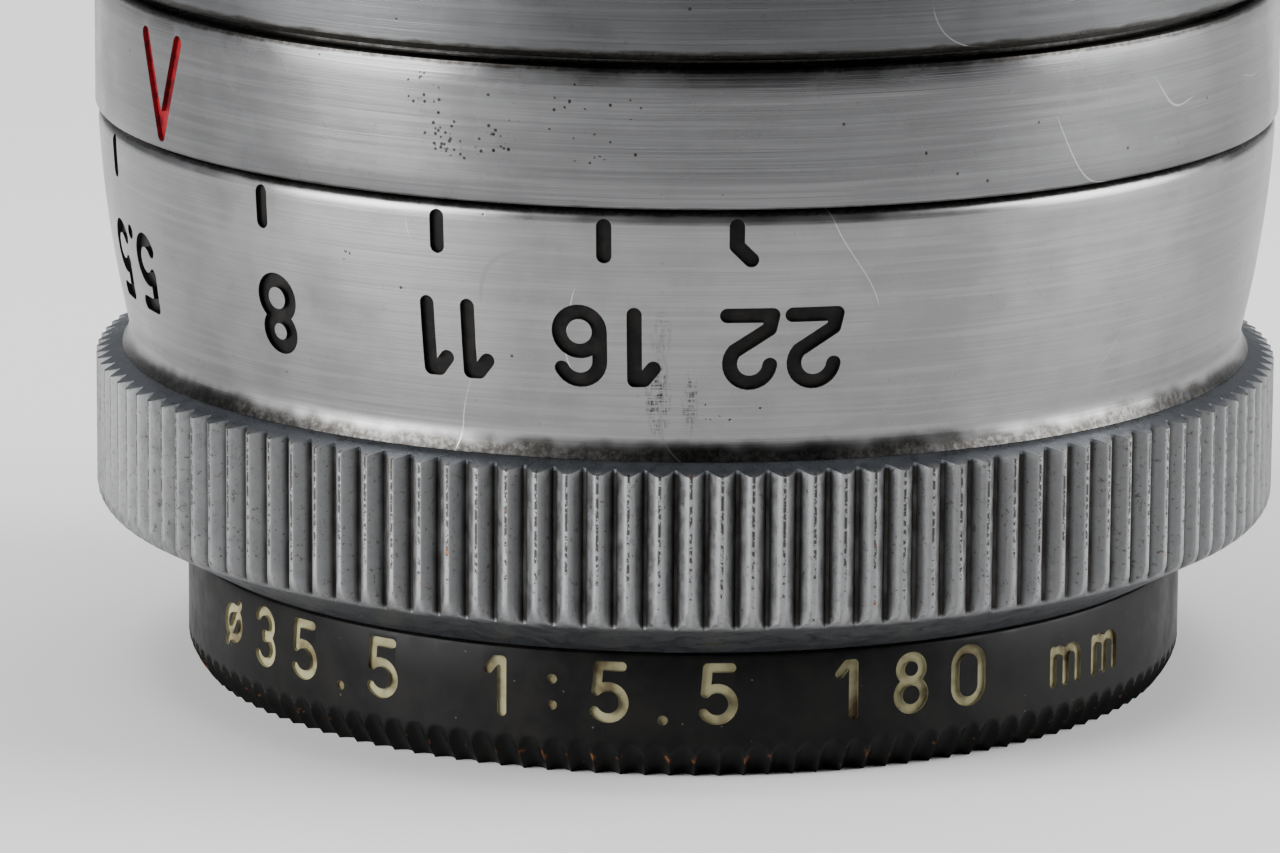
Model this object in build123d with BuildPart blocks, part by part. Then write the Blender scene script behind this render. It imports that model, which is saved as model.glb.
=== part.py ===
"""Portrait lens of the 1950s: satin aluminium rings, black-painted front ring, iris and focusing helicoid.

The lens stands on its front rim. The origin is the centre of the front rim's plane and +Z runs along
the optical axis towards the camera mount. Angles round the axis are measured from -Y, positive about +Z,
and lengths are in millimetres.
"""

import os
from math import asin, cos, degrees, radians, sin, sqrt

from build123d import *

os.makedirs("parts", exist_ok=True)

# ---------------------------------------------------------------- driving dimensions
RUNNING_GAP = 0.05          # radial clearance of turning and sliding fits
END_GAP = 0.05              # axial clearance beside a turning ring
CUT_MARGIN = 1.0            # how far a cutting tool stands outside the metal

# Front name ring
NAME_RING_R = 20.3
NAME_RING_TOP = 5.05
NAME_SPIGOT_R = 19.5
NAME_SPIGOT_TOP = 9.0
FILTER_BORE_R = 17.75
FILTER_DEPTH = 3.0
FLUTE_COUNT = 128
FLUTE_R = 0.44
FLUTE_TOP = 1.5             # height of the round top of each flute
FLUTE_FOOT_R = 19.25        # radius of a flute's floor at the rim
FLUTE_LENGTH = 4.0          # length of the round cutter

# Aperture ring
RING_FRONT = NAME_RING_TOP + END_GAP
RING_REAR = 23.2
COLLAR_R = 24.0
COLLAR_FOOT_R = 23.66
COLLAR_FOOT = 6.9
COLLAR_TOP = 12.9
KNURL_COUNT = 126
KNURL_DEPTH = 0.58
KNURL_CREST = 0.27          # width left on each ridge, mm
KNURL_PHASE = 0.67          # angle of the first ridge
JOURNAL_R = 21.4            # the aperture ring turns on the tube here

# Index ring
INDEX_FRONT = 23.24
INDEX_TOP = 28.75
INDEX_R = 23.95
INDEX_ANGLE = -59.1         # the pointer's apex, and the line of all index marks
SEAM_TOP = 28.98

# Lens tube
TUBE_R = 24.1
TUBE_REAR = 84.0
CELL_BORE_R = 19.5
IRIS_SEAT = 13.5
IRIS_BORE_R = 20.35
MID_BORE_R = 22.4
MID_BORE_FRONT = 33.0
SLEEVE_BORE_R = 23.1
SLEEVE_BORE_FRONT = 60.0

# Iris: f-number scale, blades and their drive
OPEN_NUMBER = 5.5
BLADE_COUNT = 12
IRIS_OPEN_R = 14.5
BLADE_OUTER_R = 18.85
BLADE_ARC = 130
BLADE_THICKNESS = 0.07
BLADE_PITCH = 0.14          # one flat layer for each blade
BLADE_FLOOR = 14.5
PIVOT_CIRCLE_R = 19.4
PIVOT_PIN_R = 0.35
PIVOT_EAR_R = 0.8
OPEN_TURN = 13.7            # ring turn from rest to fully open
CLOSED_TURN = -63.8         # ring turn from rest to the smallest stop
SMALLEST_NUMBER = 22

# Optics
ELEMENT_R = 17.15
REAR_ELEMENT_R = 14.15

# Focusing
FOCAL_LENGTH = 180.0
FOCUS_TURN = 280
FOCUS_TRAVEL = 14.0
HELICOID_R = 25.5
FOCUS_FRONT = 50.0
FOCUS_REAR = 92.0
FOCUS_BAND_R = 28.6
GRIP_R = 29.6
GRIP_COUNT = 150

# Mount
MOUNT_JOURNAL_R = 26.95
BARREL_FRONT = 84.4
FLANGE_FACE = 104.5
THREAD_R = 20.95
THREAD_LENGTH = 4.0


# ---------------------------------------------------------------- shared shapes
def save(piece, name):
    """Label one finished sub-part and write it."""
    piece.part.label = name
    export_step(piece.part, f"parts/{name}.step")


def turned(*outline, mode=Mode.ADD):
    """Turn a closed (radius, height) outline about the optical axis."""
    with BuildSketch(Plane.XZ) as profile:
        with BuildLine():
            Polyline(*outline, close=True)
        make_face()
    revolve(profile.sketch, axis=Axis.Z, mode=mode)


def sleeve(inner, outer, front, rear, mode=Mode.ADD):
    """A plain ring between two radii and two heights."""
    turned((inner, front), (outer, front), (outer, rear), (inner, rear), mode=mode)


def radial_plane(angle, radius, height, lean=0.0, flipped=False):
    """A plane facing outwards on a ring, leaning forwards where the ring widens to the rear.

    Its y axis points to the rear, or to the front when it is flipped.
    """
    turn = radians(angle)
    tilt = radians(lean)
    outward = (sin(turn) * cos(tilt), -cos(turn) * cos(tilt), -sin(tilt))
    side = -1 if flipped else 1
    return Plane(
        origin=(radius * sin(turn), -radius * cos(turn), height),
        x_dir=(side * cos(turn), side * sin(turn), 0),
        z_dir=outward,
    )


def radial_pin(angle, height, radius, inner, outer, mode=Mode.ADD):
    """A round bar that points at the optical axis."""
    with BuildSketch(radial_plane(angle, inner, height)) as section:
        Circle(radius)
    extrude(section.sketch, amount=outer - inner, mode=mode)


def arc_groove(inner, outer, front, rear, start, sweep):
    """Cut a slot that runs part of the way round a ring."""
    turn = radians(start)
    plane = Plane(
        origin=(0, 0, 0),
        x_dir=(sin(turn), -cos(turn), 0),
        z_dir=(-cos(turn), -sin(turn), 0),
    )
    with BuildSketch(plane) as section:
        with Locations(((inner + outer) / 2, (front + rear) / 2)):
            Rectangle(outer - inner, rear - front)
    revolve(section.sketch, axis=Axis.Z, revolution_arc=sweep, mode=Mode.SUBTRACT)


def toothed_section(count, crest_r, depth, crest_width, phase):
    """A sketch outline of straight V grooves with narrow flat ridges between them."""
    step = 360 / count
    half_crest = degrees(crest_width / 2 / crest_r)
    corners = []
    for tooth in range(count):
        middle = phase + tooth * step - 90
        for radius, angle in (
            (crest_r, middle - half_crest),
            (crest_r, middle + half_crest),
            (crest_r - depth, middle + step / 2),
        ):
            corners.append((radius * cos(radians(angle)), radius * sin(radians(angle))))
    return corners


def sag(bend, radius):
    """Height of a spherical surface above its vertex; negative when its centre is to the front."""
    depth = abs(bend) - sqrt(bend**2 - radius**2)
    return depth if bend > 0 else -depth


# ---------------------------------------------------------------- engraved characters
# Each stroke is a straight line (x0, y0, x1, y1) or an arc (x, y, radius, start, sweep), for a
# character one unit tall. Lines and arcs have 4 and 5 numbers.
CHARACTERS = {
    "0": [(0, 0.7, 0.3, 0, 180), (0, 0.3, 0.3, 180, 180), (-0.3, 0.3, -0.3, 0.7), (0.3, 0.3, 0.3, 0.7)],
    "1": [(0.08, 0, 0.08, 0.97), (0.08, 0.97, -0.05, 0.965), (-0.05, 0.965, -0.19, 0.79)],
    "2": [(0, 0.71, 0.29, -40, 215), (0.222, 0.524, -0.27, 0.2), (-0.27, 0.2, -0.31, 0), (-0.31, 0, 0.33, 0)],
    "3": [(0, 0.745, 0.255, -90, 240), (0, 0.275, 0.275, -150, 240)],
    "4": [(0.14, 0, 0.14, 1), (0.14, 1, -0.3, 0.3), (-0.3, 0.3, 0.32, 0.3)],
    "5": [(0.25, 1, -0.18, 1), (-0.18, 1, -0.22, 0.53), (-0.01, 0.31, 0.3, -145, 280)],
    "6": [
        (0, 0.27, 0.29, 0, 180),
        (0, 0.27, 0.29, 180, 180),
        (-0.29, 0.27, -0.29, 0.7),
        (0, 0.7, 0.29, 25, 155),
    ],
    "7": [(-0.3, 1, 0.3, 1), (0.3, 1, -0.1, 0)],
    "8": [
        (0, 0.27, 0.27, 0, 180),
        (0, 0.27, 0.27, 180, 180),
        (0, 0.77, 0.23, 0, 180),
        (0, 0.77, 0.23, 180, 180),
    ],
    ".": [(-0.005, 0, 0.005, 0)],
    ":": [(-0.005, 0.2, 0.005, 0.2), (-0.005, 0.7, 0.005, 0.7)],
    "m": [
        (-0.36, 0, -0.36, 0.62),
        (-0.18, 0.44, 0.18, 0, 180),
        (0, 0.44, 0, 0),
        (0.18, 0.44, 0.18, 0, 180),
        (0.36, 0.44, 0.36, 0),
    ],
    "diameter": [(0, 0.5, 0.3, 0, 180), (0, 0.5, 0.3, 180, 180), (-0.28, 0.1, 0.28, 0.9)],
    "infinity": [
        (-0.25, 0.5, 0.25, 0, 180),
        (-0.25, 0.5, 0.25, 180, 180),
        (0.25, 0.5, 0.25, 0, 180),
        (0.25, 0.5, 0.25, 180, 180),
    ],
}


def draw_strokes(strokes, size, width):
    """Draw round-ended strokes in the sketch that is open."""
    for stroke in strokes:
        numbers = [number * size for number in stroke[:4]]
        if len(stroke) == 4:
            x0, y0, x1, y1 = numbers
            length = sqrt((x1 - x0) ** 2 + (y1 - y0) ** 2)
            direction = degrees(asin((y1 - y0) / length))
            with Locations(((x0 + x1) / 2, (y0 + y1) / 2)):
                SlotCenterToCenter(length, width, rotation=direction if x1 >= x0 else -direction)
        else:
            x0, y0, bend = numbers[:3]
            SlotArc(CenterArc((x0, y0), bend, stroke[3], stroke[4]), width)


def engrave(strokes, place, size=1.0, width=0.5, depth=0.3):
    """Cut strokes into the part that is open, from a plane that touches its surface."""
    # The strokes are drawn on XY and then placed, because arcs drawn on a slanted plane land elsewhere.
    with BuildSketch(Plane.XY) as mark:
        draw_strokes(strokes, size, width)
    tool = place.offset(CUT_MARGIN) * mark.sketch
    extrude(tool, amount=-(CUT_MARGIN + depth), mode=Mode.SUBTRACT)


# ---------------------------------------------------------------- front name ring
NAME_TEXT_SIZE = 2.1
NAME_TEXT_FOOT = 2.4
NAME_TEXT_STEP = 7.4
NAME_TEXT_START = -66.0
NAME_TEXT = [
    *("diameter", "3", "5", ".", "5", None),
    *("1", ":", "5", ".", "5", None),
    *("1", "8", "0", None, "m", "m"),
]
NARROW = {".": 0.62, ":": 0.7}

# The flutes of the rim are cut by a round tool that leans outwards.
flute_slope = sqrt((NAME_RING_R - FLUTE_FOOT_R) ** 2 + FLUTE_TOP**2)
flute_out = (NAME_RING_R - FLUTE_FOOT_R) / flute_slope
flute_up = FLUTE_TOP / flute_slope
flute_axis = Plane(
    origin=(FLUTE_FOOT_R + FLUTE_R * flute_up, 0, -FLUTE_R * flute_out),
    x_dir=(0, 1, 0),
    z_dir=(flute_out, 0, flute_up),
)
with BuildPart() as flute_tool:
    with BuildSketch(flute_axis.offset(-CUT_MARGIN)):
        Circle(FLUTE_R)
    extrude(amount=FLUTE_LENGTH)

with BuildPart() as front_name_ring:
    turned(
        (FILTER_BORE_R, 0),
        (19.62, 0),
        (NAME_RING_R, 1.25),
        (NAME_RING_R, NAME_RING_TOP - 0.15),
        (NAME_RING_R - 0.15, NAME_RING_TOP),
        (NAME_SPIGOT_R, NAME_RING_TOP),
        (NAME_SPIGOT_R, NAME_SPIGOT_TOP),
        (18.3, NAME_SPIGOT_TOP),
        (18.3, FILTER_DEPTH),
        (FILTER_BORE_R, FILTER_DEPTH),
    )
    text_angle = NAME_TEXT_START
    for character in NAME_TEXT:
        advance = NAME_TEXT_STEP * NARROW.get(character, 1.0)
        text_angle += advance / 2
        if character:
            name_place = radial_plane(text_angle, NAME_RING_R, NAME_TEXT_FOOT)
            engrave(CHARACTERS[character], name_place, NAME_TEXT_SIZE, width=0.38, depth=0.22)
        text_angle += advance / 2
    with PolarLocations(0, FLUTE_COUNT):
        add(flute_tool.part, mode=Mode.SUBTRACT)
save(front_name_ring, "front_name_ring")

# ---------------------------------------------------------------- aperture ring
SCALE_STROKE = 0.58
SCALE_DEPTH = 0.28
NUMERAL_SIZE = 2.7
NUMERAL_FOOT = 19.1
TICK_FRONT = 21.4
TICK_REAR = 22.55
BODY_LEAN = 9.0             # the numbered part widens to the rear by this angle
# Each entry gives the tick's angle, and the characters with their own angles.
APERTURE_SCALE = [
    (-72.8, [("5", -73.6), (".", -69.9), ("5", -66.0)]),
    (-43.55, [("8", -42.45)]),
    (-23.5, [("1", -24.3), ("1", -20.2)]),
    (-7.5, [("6", -9.9), ("1", -4.2)]),
    (4.7, [("2", 6.1), ("2", 12.2)]),
]
NUMERAL_R = 23.52              # radius at the characters' feet
TICK_R = 23.74
COUPLING_ANGLE = 180
COUPLING_HEIGHT = 16.85
COUPLING_PIN_R = 0.4
COUPLING_HEAD_R = 0.75

with BuildPart() as knurled_collar:
    turned(
        (NAME_SPIGOT_R + 0.1, RING_FRONT),
        (NAME_RING_R, RING_FRONT),
        (COLLAR_FOOT_R, COLLAR_FOOT),
        (COLLAR_R + 0.05, COLLAR_FOOT + 0.5),
        (COLLAR_R + 0.05, COLLAR_TOP),
        (22.95, COLLAR_TOP + 0.35),
        (JOURNAL_R + RUNNING_GAP, COLLAR_TOP + 0.35),
        (JOURNAL_R + RUNNING_GAP, RING_FRONT + 0.8),
        (NAME_SPIGOT_R + 0.1, RING_FRONT + 0.8),
    )
    with BuildSketch(Plane.XY) as knurl_section:
        with BuildLine():
            corners = toothed_section(KNURL_COUNT, COLLAR_R, KNURL_DEPTH, KNURL_CREST, KNURL_PHASE)
            Polyline(*corners, close=True)
        make_face()
    extrude(amount=COLLAR_TOP + CUT_MARGIN, mode=Mode.INTERSECT)

with BuildPart() as aperture_ring:
    with BuildSketch(Plane.XZ) as body_profile:
        with BuildLine():
            start = (22.65, 14.25)
            ThreePointArc((22.95, COLLAR_TOP + 0.35), (22.72, 13.75), start)
            ThreePointArc(start, (23.36, 18.0), (23.81, 22.4))
            Line((23.81, 22.4), (23.76, 22.89))
            Line((23.76, 22.89), (23.45, RING_REAR))
            Line((23.45, RING_REAR), (JOURNAL_R + RUNNING_GAP, RING_REAR))
            Line((JOURNAL_R + RUNNING_GAP, RING_REAR), (JOURNAL_R + RUNNING_GAP, 12.5))
            Line((JOURNAL_R + RUNNING_GAP, 12.5), (22.95, 12.5))
            Line((22.95, 12.5), (22.95, COLLAR_TOP + 0.35))
        make_face()
    revolve(axis=Axis.Z)
    for tick_angle, characters in APERTURE_SCALE:
        tick = [(0, -(TICK_REAR - NUMERAL_FOOT), 0, -(TICK_FRONT - NUMERAL_FOOT))]
        if tick_angle > 0:
            # The last tick was cut in two strokes and has a crook.
            tick = [(0, -3.5, 0, -2.75), (0, -2.75, -0.55, -2.2)]
        tick_place = radial_plane(tick_angle, TICK_R, NUMERAL_FOOT, flipped=True)
        engrave(tick, tick_place, 1.0, SCALE_STROKE, SCALE_DEPTH)
        for character, angle in characters:
            numeral_place = radial_plane(angle, NUMERAL_R, NUMERAL_FOOT, BODY_LEAN, flipped=True)
            engrave(CHARACTERS[character], numeral_place, NUMERAL_SIZE, SCALE_STROKE, SCALE_DEPTH)
    add(knurled_collar.part)
    radial_pin(COUPLING_ANGLE, COUPLING_HEIGHT, COUPLING_HEAD_R, JOURNAL_R - 1, 25, mode=Mode.SUBTRACT)
save(aperture_ring, "aperture_ring")

with BuildPart() as aperture_coupling_screw:
    radial_pin(COUPLING_ANGLE, COUPLING_HEIGHT, COUPLING_PIN_R, 18.9, 21.6)
    radial_pin(COUPLING_ANGLE, COUPLING_HEIGHT, COUPLING_HEAD_R, 21.6, 23.0)
    with BuildSketch(radial_plane(COUPLING_ANGLE, 22.6, COUPLING_HEIGHT)) as driver_slot:
        Rectangle(3, 0.3)
    extrude(driver_slot.sketch, amount=1, mode=Mode.SUBTRACT)
save(aperture_coupling_screw, "aperture_coupling_screw")

# ---------------------------------------------------------------- index ring
POINTER_HALF_ANGLE = 3.2
POINTER_HEIGHT = 3.7
POINTER_APEX = 23.76
SCREW_ANGLES = (125, 235)
INDEX_SCREW_HEIGHT = 26.0
INDEX_SCREW_R = 0.7

with BuildPart() as index_ring:
    turned(
        (JOURNAL_R, INDEX_FRONT),
        (INDEX_R - 0.12, INDEX_FRONT),
        (INDEX_R, INDEX_FRONT + 0.12),
        (INDEX_R, INDEX_TOP - 0.2),
        (INDEX_R - 0.2, INDEX_TOP),
        (23.2, INDEX_TOP),
        (23.2, SEAM_TOP),
        (JOURNAL_R, SEAM_TOP),
    )
    pointer_reach = INDEX_R * sin(radians(POINTER_HALF_ANGLE))
    pointer = [(0, 0, pointer_reach, POINTER_HEIGHT), (-pointer_reach, POINTER_HEIGHT, 0, 0)]
    engrave(pointer, radial_plane(INDEX_ANGLE, INDEX_R, POINTER_APEX), 1.0, 0.55, 0.28)
    for angle in SCREW_ANGLES:
        radial_pin(angle, INDEX_SCREW_HEIGHT, INDEX_SCREW_R, JOURNAL_R - 1, 25, mode=Mode.SUBTRACT)
save(index_ring, "index_ring")

with BuildPart() as index_ring_screws:
    for angle in SCREW_ANGLES:
        radial_pin(angle, INDEX_SCREW_HEIGHT, INDEX_SCREW_R, JOURNAL_R + 0.02, 23.7)
        with BuildSketch(radial_plane(angle, 23.3, INDEX_SCREW_HEIGHT)) as driver_slot:
            Rectangle(3, 0.3)
        extrude(driver_slot.sketch, amount=1, mode=Mode.SUBTRACT)
save(index_ring_screws, "index_ring_screws")

# ---------------------------------------------------------------- lens tube and its fittings
COUPLING_SLOT_MARGIN = 2.2  # spare angle at each end of the slot for the coupling screw
KEY_ANGLES = (90, 270)
KEY_WIDTH = 3.0
KEY_FRONT = 78.0
KEY_REAR = 83.0
KEY_INNER_R = 22.0
KEY_SCREW_R = 0.8

with BuildPart() as lens_tube:
    turned(
        (CELL_BORE_R, NAME_RING_TOP + 0.95),
        (JOURNAL_R, NAME_RING_TOP + 0.95),
        (JOURNAL_R, SEAM_TOP),
        (TUBE_R - 0.25, SEAM_TOP),
        (TUBE_R, SEAM_TOP + 0.25),
        (TUBE_R, TUBE_REAR),
        (SLEEVE_BORE_R, TUBE_REAR),
        (SLEEVE_BORE_R, SLEEVE_BORE_FRONT),
        (MID_BORE_R, SLEEVE_BORE_FRONT),
        (MID_BORE_R, MID_BORE_FRONT),
        (IRIS_BORE_R, MID_BORE_FRONT),
        (IRIS_BORE_R, IRIS_SEAT),
        (CELL_BORE_R, IRIS_SEAT),
    )
    arc_groove(
        IRIS_BORE_R - 1,
        JOURNAL_R + 1,
        COUPLING_HEIGHT - COUPLING_PIN_R - 0.1,
        COUPLING_HEIGHT + COUPLING_PIN_R + 0.1,
        COUPLING_ANGLE + CLOSED_TURN - COUPLING_SLOT_MARGIN,
        OPEN_TURN - CLOSED_TURN + 2 * COUPLING_SLOT_MARGIN,
    )
    for angle in KEY_ANGLES:
        radial_pin(angle, (KEY_FRONT + KEY_REAR) / 2, KEY_SCREW_R, SLEEVE_BORE_R - 0.5, 25, mode=Mode.SUBTRACT)
save(lens_tube, "lens_tube")

with BuildPart() as lens_helicoid:
    sleeve(TUBE_R, HELICOID_R, 66, TUBE_REAR)
save(lens_helicoid, "lens_helicoid")

with BuildPart() as guide_keys:
    for angle in KEY_ANGLES:
        with BuildSketch(radial_plane(angle, KEY_INNER_R, (KEY_FRONT + KEY_REAR) / 2)) as key_section:
            Rectangle(KEY_WIDTH, KEY_REAR - KEY_FRONT)
        extrude(key_section.sketch, amount=SLEEVE_BORE_R - KEY_INNER_R - 0.06)
        radial_pin(angle, (KEY_FRONT + KEY_REAR) / 2, KEY_SCREW_R, KEY_INNER_R - 1, 25, mode=Mode.SUBTRACT)
save(guide_keys, "guide_keys")

with BuildPart() as guide_key_screws:
    for angle in KEY_ANGLES:
        radial_pin(angle, (KEY_FRONT + KEY_REAR) / 2, KEY_SCREW_R, KEY_INNER_R + 0.1, TUBE_R - 0.05)
save(guide_key_screws, "guide_key_screws")

with BuildPart() as tube_baffle:
    turned((13.5, 40.0), (MID_BORE_R, 40.0), (MID_BORE_R, 41.5), (14.2, 41.5), (13.5, 40.6))
save(tube_baffle, "tube_baffle")

# ---------------------------------------------------------------- front optics
CELL_FRONT = 3.4
CELL_REAR = 13.4
CELL_SEAT = 12.0
CELL_CLEAR_R = 16.4
CROWN_VERTEX = 3.3
CROWN_FRONT_R = 60.0
CEMENT_R = 70.0
CROWN_CENTRE = 6.5
FLINT_CENTRE = 2.5
FLINT_REAR_R = 400.0
RETAINER_REAR = 5.75
RETAINER_FRONT = 4.6


def lens_element(edge_r, front_vertex, front_bend, rear_vertex, rear_bend):
    """Turn a lens element; a bend is a signed radius, positive when its centre is to the rear."""
    half = edge_r / 2
    front_edge = front_vertex + sag(front_bend, edge_r)
    front_half = front_vertex + sag(front_bend, half)
    rear_edge = rear_vertex + sag(rear_bend, edge_r)
    rear_half = rear_vertex + sag(rear_bend, half)
    with BuildSketch(Plane.XZ) as section:
        with BuildLine():
            ThreePointArc((0, front_vertex), (half, front_half), (edge_r, front_edge))
            Line((edge_r, front_edge), (edge_r, rear_edge))
            ThreePointArc((edge_r, rear_edge), (half, rear_half), (0, rear_vertex))
            Line((0, rear_vertex), (0, front_vertex))
        make_face()
    revolve(section.sketch, axis=Axis.Z)


with BuildPart() as front_cell:
    turned(
        (ELEMENT_R, CELL_FRONT),
        (18.25, CELL_FRONT),
        (18.25, NAME_SPIGOT_TOP),
        (CELL_BORE_R, NAME_SPIGOT_TOP),
        (CELL_BORE_R, CELL_REAR),
        (CELL_CLEAR_R, CELL_REAR),
        (CELL_CLEAR_R, CELL_SEAT),
        (ELEMENT_R, CELL_SEAT),
    )
save(front_cell, "front_cell")

with BuildPart() as front_crown_element:
    lens_element(ELEMENT_R, CROWN_VERTEX, CROWN_FRONT_R, CROWN_VERTEX + CROWN_CENTRE, -CEMENT_R)
save(front_crown_element, "front_crown_element")

with BuildPart() as front_flint_element:
    flint_front = CROWN_VERTEX + CROWN_CENTRE
    lens_element(ELEMENT_R, flint_front, -CEMENT_R, flint_front + FLINT_CENTRE - 0.35, -FLINT_REAR_R)
save(front_flint_element, "front_flint_element")

with BuildPart() as front_retaining_ring:
    turned(
        (16.5, RETAINER_FRONT + 0.35),
        (16.85, RETAINER_FRONT),
        (ELEMENT_R, RETAINER_FRONT),
        (ELEMENT_R, RETAINER_REAR),
        (16.5, RETAINER_REAR - 0.2),
    )
    with BuildSketch(Plane.XY.offset(RETAINER_FRONT)) as spanner_slots:
        Rectangle(2 * ELEMENT_R + 1, 1.2)
    extrude(spanner_slots.sketch, amount=0.5, mode=Mode.SUBTRACT)
save(front_retaining_ring, "front_retaining_ring")

# ---------------------------------------------------------------- iris
STOP_TRAVEL = IRIS_OPEN_R * (1 - OPEN_NUMBER / SMALLEST_NUMBER)
BLADE_TURN = degrees(2 * asin(STOP_TRAVEL / (2 * PIVOT_CIRCLE_R)))
DRIVE_RATIO = BLADE_TURN / (OPEN_TURN - CLOSED_TURN)
REST_TURN = OPEN_TURN * DRIVE_RATIO
DRIVE_FRONT = 16.4
DRIVE_REAR = 17.3
STUD_CIRCLE_R = 16.7

with BuildPart() as iris_base_plate:
    sleeve(IRIS_OPEN_R + 0.15, IRIS_BORE_R, IRIS_SEAT, BLADE_FLOOR - 0.1)
    with BuildSketch(Plane.XY.offset(IRIS_SEAT)) as pivot_holes:
        with PolarLocations(PIVOT_CIRCLE_R, BLADE_COUNT):
            Circle(PIVOT_PIN_R + RUNNING_GAP)
    extrude(pivot_holes.sketch, amount=2, mode=Mode.SUBTRACT)
save(iris_base_plate, "iris_base_plate")

for blade in range(BLADE_COUNT):
    pivot_angle = blade * 360 / BLADE_COUNT
    layer = BLADE_FLOOR + blade * BLADE_PITCH
    pivot_place = Plane(
        origin=(PIVOT_CIRCLE_R * cos(radians(pivot_angle)), PIVOT_CIRCLE_R * sin(radians(pivot_angle)), layer),
        x_dir=(cos(radians(pivot_angle - REST_TURN)), sin(radians(pivot_angle - REST_TURN)), 0),
        z_dir=(0, 0, 1),
    )
    middle_r = (IRIS_OPEN_R + BLADE_OUTER_R) / 2
    far_end = (
        -PIVOT_CIRCLE_R + middle_r * cos(radians(BLADE_ARC)),
        -middle_r * sin(radians(BLADE_ARC)),
    )
    with BuildPart() as iris_blade:
        with BuildSketch(pivot_place):
            with BuildLine():
                outer_edge = CenterArc((-PIVOT_CIRCLE_R, 0), BLADE_OUTER_R, -BLADE_ARC, BLADE_ARC)
                inner_edge = CenterArc((-PIVOT_CIRCLE_R, 0), IRIS_OPEN_R, -BLADE_ARC, BLADE_ARC)
                Line(outer_edge @ 0, inner_edge @ 0)
                Line(outer_edge @ 1, inner_edge @ 1)
            make_face()
            with Locations(far_end):
                Circle((BLADE_OUTER_R - IRIS_OPEN_R) / 2)
            Circle(PIVOT_EAR_R)
        extrude(amount=BLADE_THICKNESS)
        with BuildSketch(pivot_place):
            Circle(PIVOT_PIN_R)
        extrude(amount=-(layer - IRIS_SEAT - 0.3))
        with BuildSketch(pivot_place.offset(BLADE_THICKNESS)):
            with Locations(far_end):
                Circle(0.3)
        extrude(amount=0.04)
    save(iris_blade, f"iris_blade_{blade + 1:02d}")

with BuildPart() as iris_drive_ring:
    sleeve(IRIS_OPEN_R + 0.2, IRIS_BORE_R - 0.07, DRIVE_FRONT, DRIVE_REAR)
    with BuildSketch(Plane.XY.offset(DRIVE_FRONT)) as stud_slots:
        with PolarLocations(STUD_CIRCLE_R + 0.2, BLADE_COUNT, start_angle=360 / BLADE_COUNT / 2):
            SlotOverall(3.0, 0.75)
    extrude(stud_slots.sketch, amount=2, mode=Mode.SUBTRACT)
    radial_pin(COUPLING_ANGLE, COUPLING_HEIGHT, COUPLING_PIN_R, 18.9, 21, mode=Mode.SUBTRACT)
save(iris_drive_ring, "iris_drive_ring")

with BuildPart() as iris_retaining_ring:
    sleeve(IRIS_OPEN_R + 0.5, IRIS_BORE_R, DRIVE_REAR + 0.1, DRIVE_REAR + 1.6)
save(iris_retaining_ring, "iris_retaining_ring")

# ---------------------------------------------------------------- rear optics
REAR_CELL_SEAT = 72.5
REAR_CELL_END = 81.0

with BuildPart() as rear_cell:
    turned(
        (13.0, 54.0),
        (MID_BORE_R, 54.0),
        (MID_BORE_R, SLEEVE_BORE_FRONT),
        (15.6, SLEEVE_BORE_FRONT),
        (15.6, REAR_CELL_END),
        (REAR_ELEMENT_R, REAR_CELL_END),
        (REAR_ELEMENT_R, REAR_CELL_SEAT),
        (13.0, REAR_CELL_SEAT),
    )
save(rear_cell, "rear_cell")

with BuildPart() as rear_negative_element:
    lens_element(REAR_ELEMENT_R, 74.6, -50.0, 76.2, 45.0)
save(rear_negative_element, "rear_negative_element")

with BuildPart() as rear_positive_element:
    lens_element(REAR_ELEMENT_R, 76.2, 45.0, 79.8, -200.0)
save(rear_positive_element, "rear_positive_element")

with BuildPart() as rear_retaining_ring:
    sleeve(12.6, REAR_ELEMENT_R, 79.42, 80.6)
    with BuildSketch(Plane.XY.offset(80.1)) as spanner_slots:
        Rectangle(2 * REAR_ELEMENT_R + 1, 1.2)
    extrude(spanner_slots.sketch, amount=1, mode=Mode.SUBTRACT)
save(rear_retaining_ring, "rear_retaining_ring")

# ---------------------------------------------------------------- focusing ring
GRIP_FRONT = 54.8
GRIP_REAR = 73.2
KEEPER_ANGLES = (60, 180, 300)
KEEPER_HEIGHT = 87.8
KEEPER_R = 0.7
STOP_ANGLE = 150
STOP_HEIGHT = 90.4
STOP_R = 0.7
DISTANCES = [(2.5, "2.5"), (3, "3"), (4, "4"), (5, "5"), (7, "7"), (10, "10"), (20, "20")]
DISTANCE_SIZE = 2.4
DISTANCE_FOOT = 82.9
DISTANCE_LINE_FRONT = 86.0
DISTANCE_LINE = (0, 0, 0, 3.0)
LABEL_STEP = 3.9            # angle from one figure of a label to the next
FINE_STROKE = 0.38
FINE_DEPTH = 0.22

with BuildPart() as grip:
    turned(
        (HELICOID_R + 1.5, GRIP_FRONT),
        (GRIP_R - 0.5, GRIP_FRONT),
        (GRIP_R + 0.05, GRIP_FRONT + 0.5),
        (GRIP_R + 0.05, GRIP_REAR - 0.5),
        (GRIP_R - 0.5, GRIP_REAR),
        (HELICOID_R + 1.5, GRIP_REAR),
    )
    with BuildSketch(Plane.XY.offset(GRIP_FRONT - CUT_MARGIN)) as grip_section:
        with BuildLine():
            Polyline(*toothed_section(GRIP_COUNT, GRIP_R, KNURL_DEPTH, KNURL_CREST, 0), close=True)
        make_face()
    extrude(amount=GRIP_REAR - GRIP_FRONT + 2 * CUT_MARGIN, mode=Mode.INTERSECT)

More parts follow.
